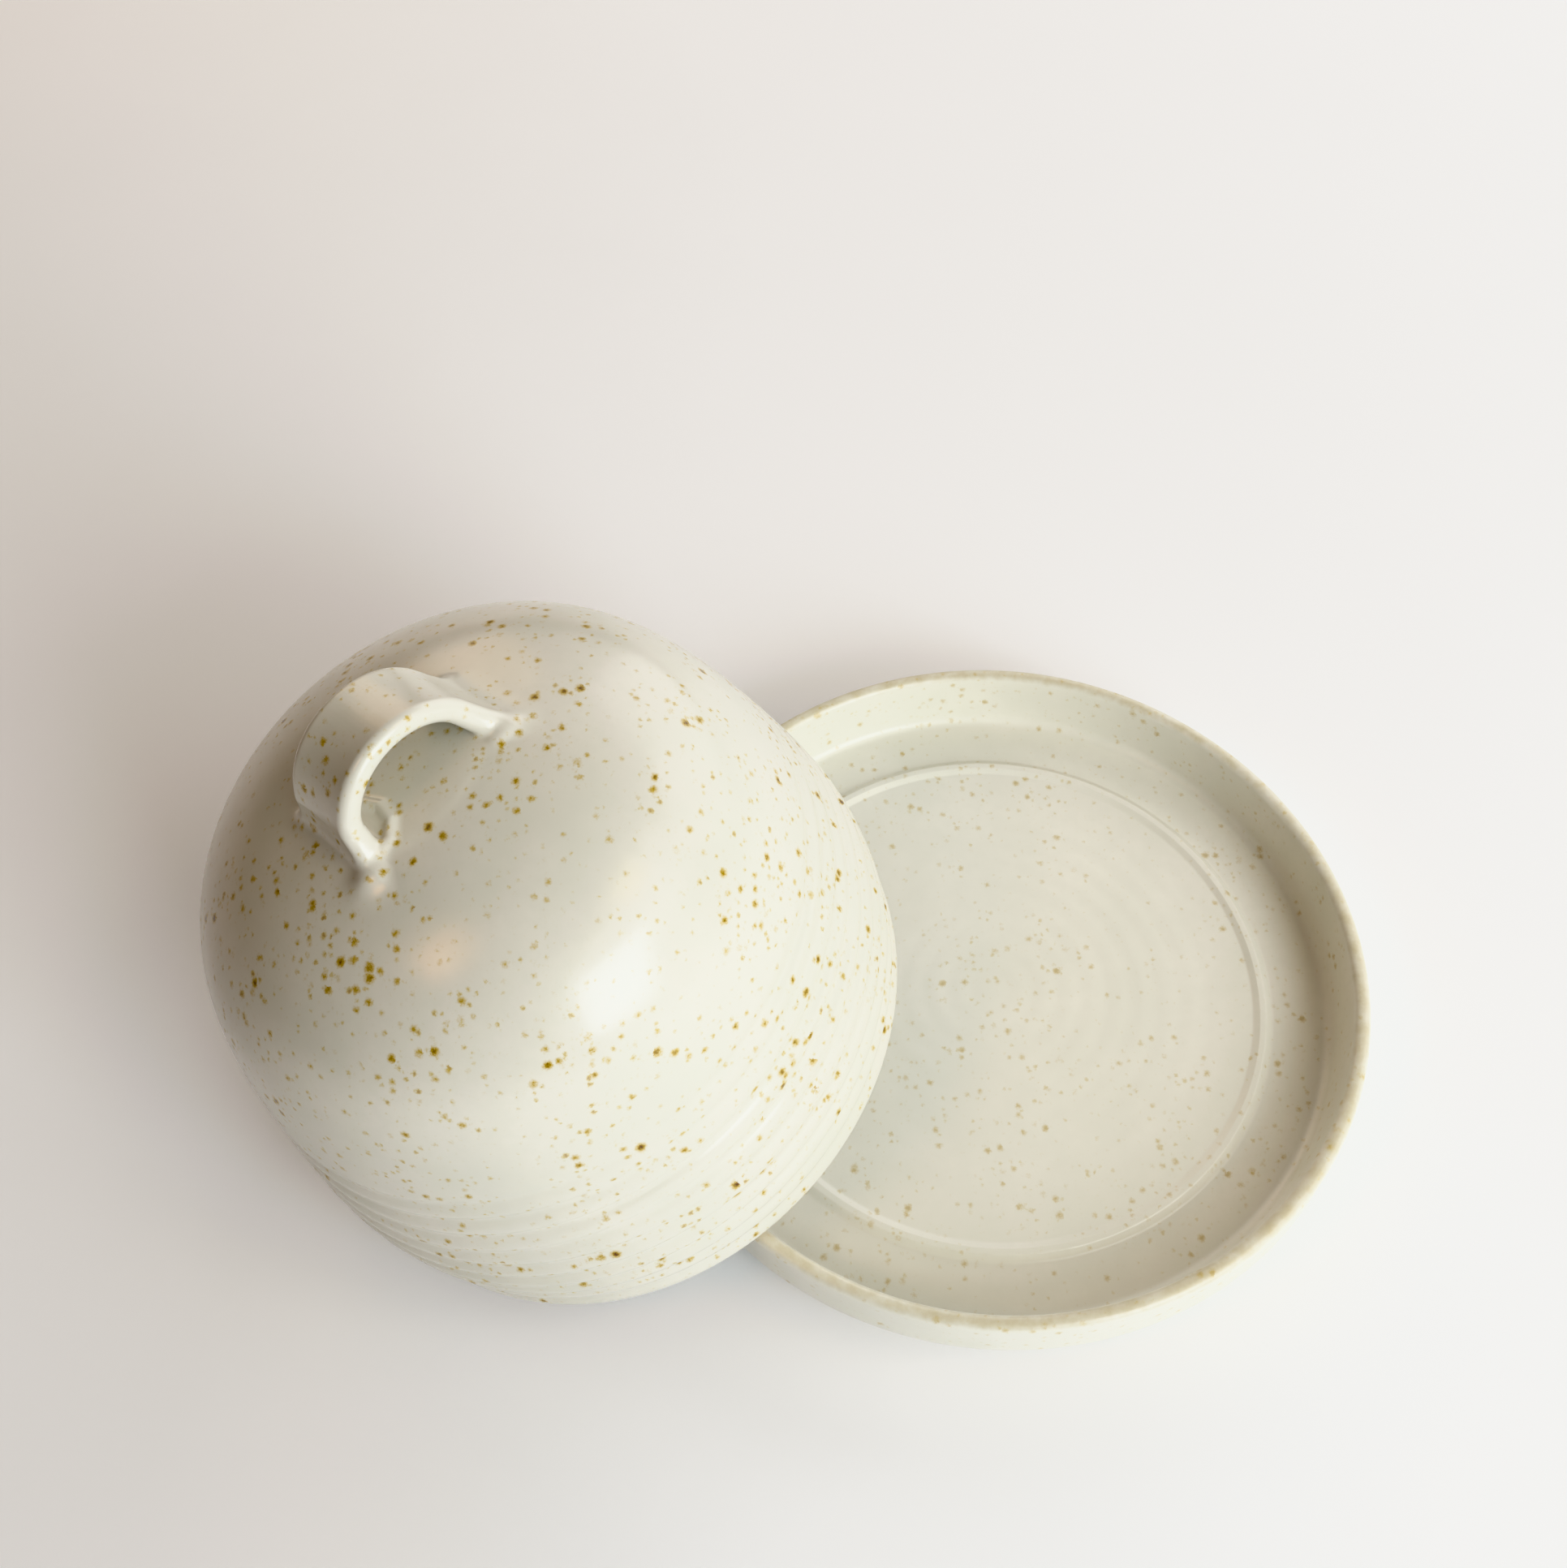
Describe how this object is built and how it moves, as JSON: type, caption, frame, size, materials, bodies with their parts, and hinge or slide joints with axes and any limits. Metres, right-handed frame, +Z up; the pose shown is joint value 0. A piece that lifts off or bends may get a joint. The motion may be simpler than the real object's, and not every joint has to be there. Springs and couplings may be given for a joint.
{
  "type": "butter crock",
  "caption": "Domed butter crock: a rimmed round plate with a low locating ring, and a tall grooved dome lid with a strap handle, lifted off and leaning on the plate",
  "frame": {"origin": "centre of the footprint of the whole set, on the table that the plate and the lid's lip rest on", "axes": "+X runs from the leaning lid to the plate, +Y is level across both, +Z is up from the table"},
  "size_m": [0.2374, 0.16, 0.1314],
  "materials": {
    "plate_glaze": "glossy cream glaze with fine iron speckles",
    "lid_glaze": "glossy off-white glaze with brown iron speckles"
  },
  "bodies": {
    "base": {"plate": "plate_glaze"},
    "lid": {"lid_dome": "lid_glaze", "lid_handle": "lid_glaze"}
  },
  "joints": [
    {"name": "lid_lift", "type": "slide", "parent": "base", "child": "lid", "axis": [0, 0, 1], "range_m": [0, 0.12]}
  ]
}
